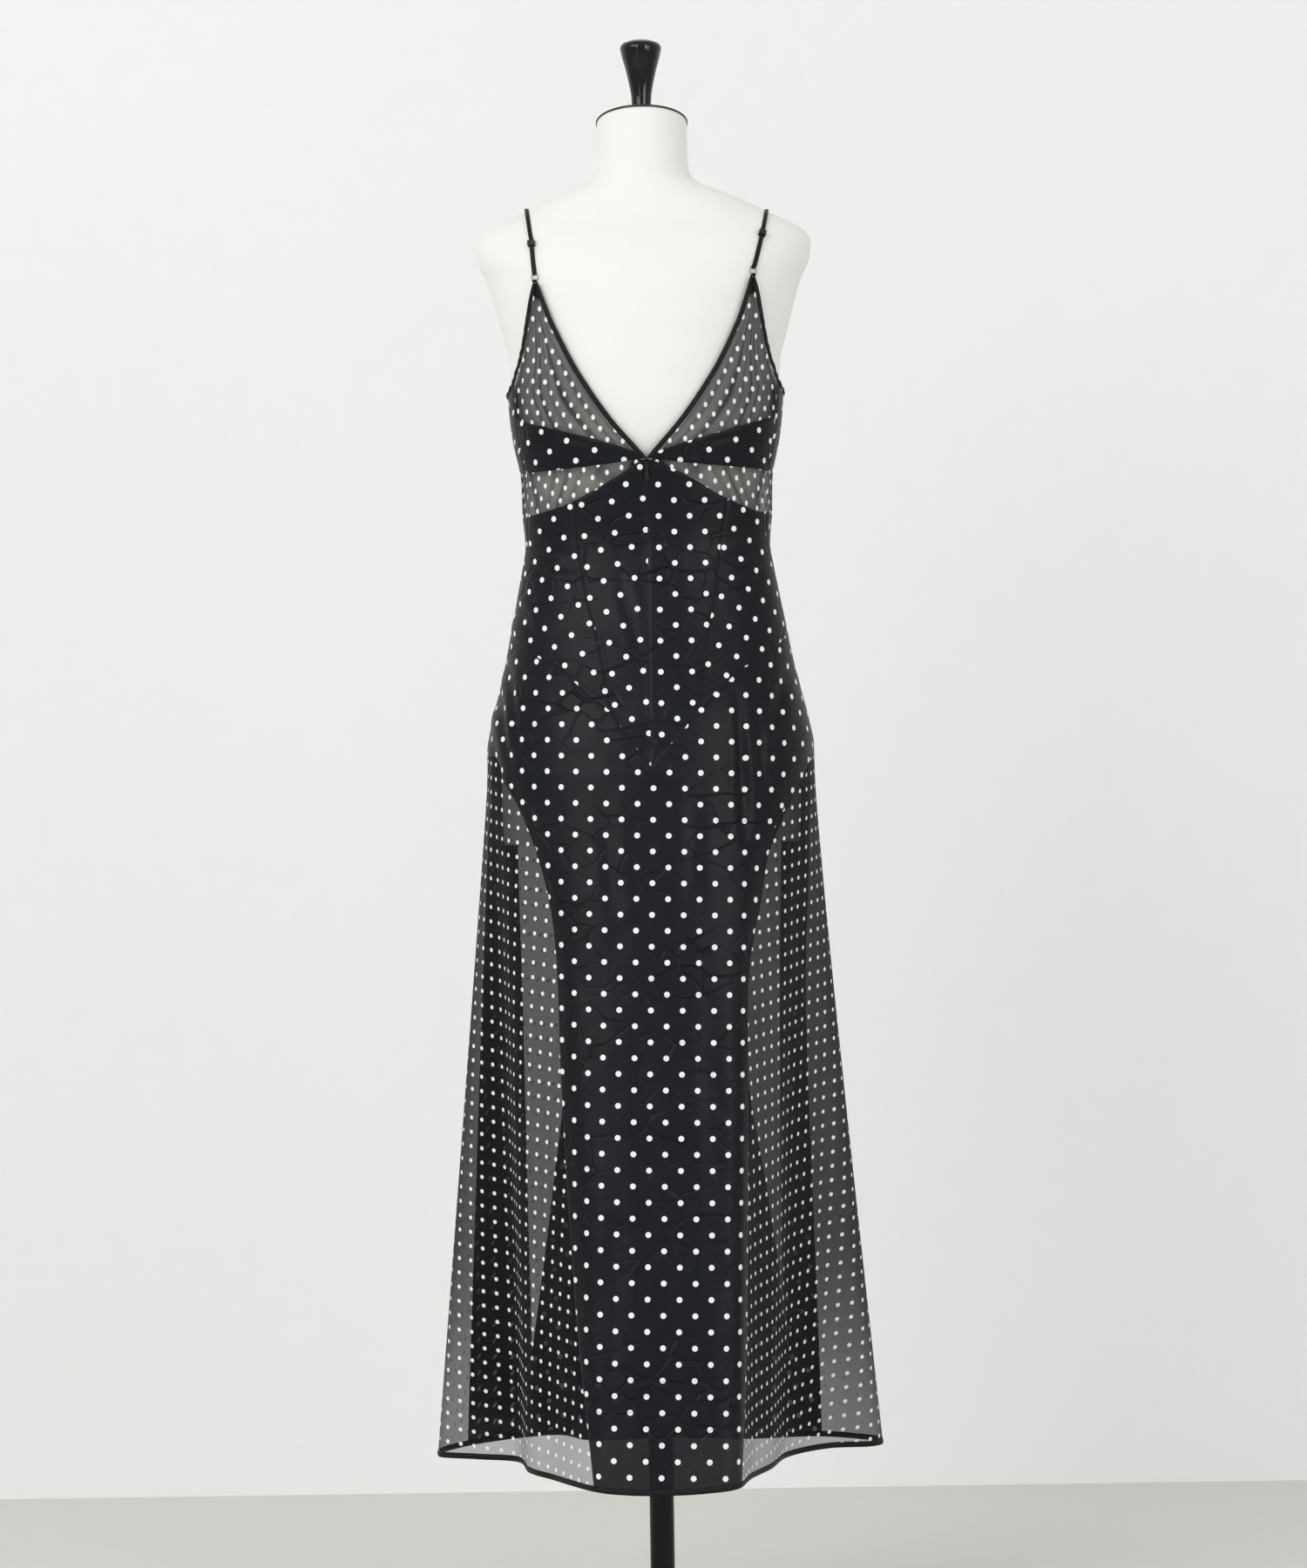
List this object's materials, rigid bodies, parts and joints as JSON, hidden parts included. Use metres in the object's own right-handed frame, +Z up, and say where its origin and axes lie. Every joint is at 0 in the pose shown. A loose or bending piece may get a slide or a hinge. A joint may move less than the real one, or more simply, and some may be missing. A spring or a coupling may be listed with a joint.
{
  "type": "dotted slip dress on a limbless dress form with a pole stand",
  "caption": "Long slip dress with satin panels, sheer side pieces, thin ring straps and an open back, worn by a limbless dress form on a pole stand with a round base.",
  "frame": {"origin": "centre of the underside of the base, on the pole's axis", "axes": "+Z up; the back of the dress faces -Y; +X is to the right of someone who looks at the back"},
  "size_m": [0.4895, 0.4523, 1.7617],
  "materials": {
    "black_gloss": "gloss",
    "black_metal": "satin",
    "black_plastic": "gloss",
    "form_cloth": "matte",
    "satin": "satin",
    "sheer": "sheer",
    "silver": "polished",
    "trim": "matte"
  },
  "bodies": {
    "dress_on_form": {"armhole_binding_L": "trim", "armhole_binding_R": "trim", "back_apex_loop_L": "trim", "back_apex_loop_R": "trim", "back_band_L": "satin", "back_band_R": "satin", "back_centre_bodice_L": "satin", "back_centre_bodice_R": "satin", "back_lower_sheer_L": "sheer", "back_lower_sheer_R": "sheer", "back_neck_binding_L": "trim", "back_neck_binding_R": "trim", "back_side_bodice_L": "satin", "back_side_bodice_R": "satin", "back_upper_sheer_L": "sheer", "back_upper_sheer_R": "sheer", "form_base": "black_metal", "form_finial": "black_gloss", "form_neck_disc": "black_gloss", "form_pole": "black_gloss", "form_torso": "form_cloth", "front_centre_bodice": "satin", "front_cup_L": "satin", "front_cup_R": "satin", "front_midriff_sheer_L": "sheer", "front_midriff_sheer_R": "sheer", "front_neck_binding_L": "trim", "front_neck_binding_R": "trim", "front_side_bodice_L": "satin", "front_side_bodice_R": "satin", "skirt_back_panel": "satin", "skirt_front_inset_L": "sheer", "skirt_front_inset_R": "sheer", "skirt_front_panel": "satin", "skirt_side_front_L": "satin", "skirt_side_front_R": "satin", "skirt_side_sheer_L": "sheer", "skirt_side_sheer_R": "sheer", "strap_L": "trim", "strap_R": "trim", "strap_ring_L": "silver", "strap_ring_R": "silver", "strap_slider_L": "black_plastic", "strap_slider_R": "black_plastic", "zip_slider": "black_plastic"},
    "zip_pull": {"zip_pull": "black_plastic"}
  },
  "joints": [
    {"name": "zip_pull_swing", "type": "hinge", "parent": "dress_on_form", "child": "zip_pull", "pos_m": [0, -0.09639, 1.29416], "axis": [-1, 0, 0], "range_deg": [0, 160]}
  ]
}
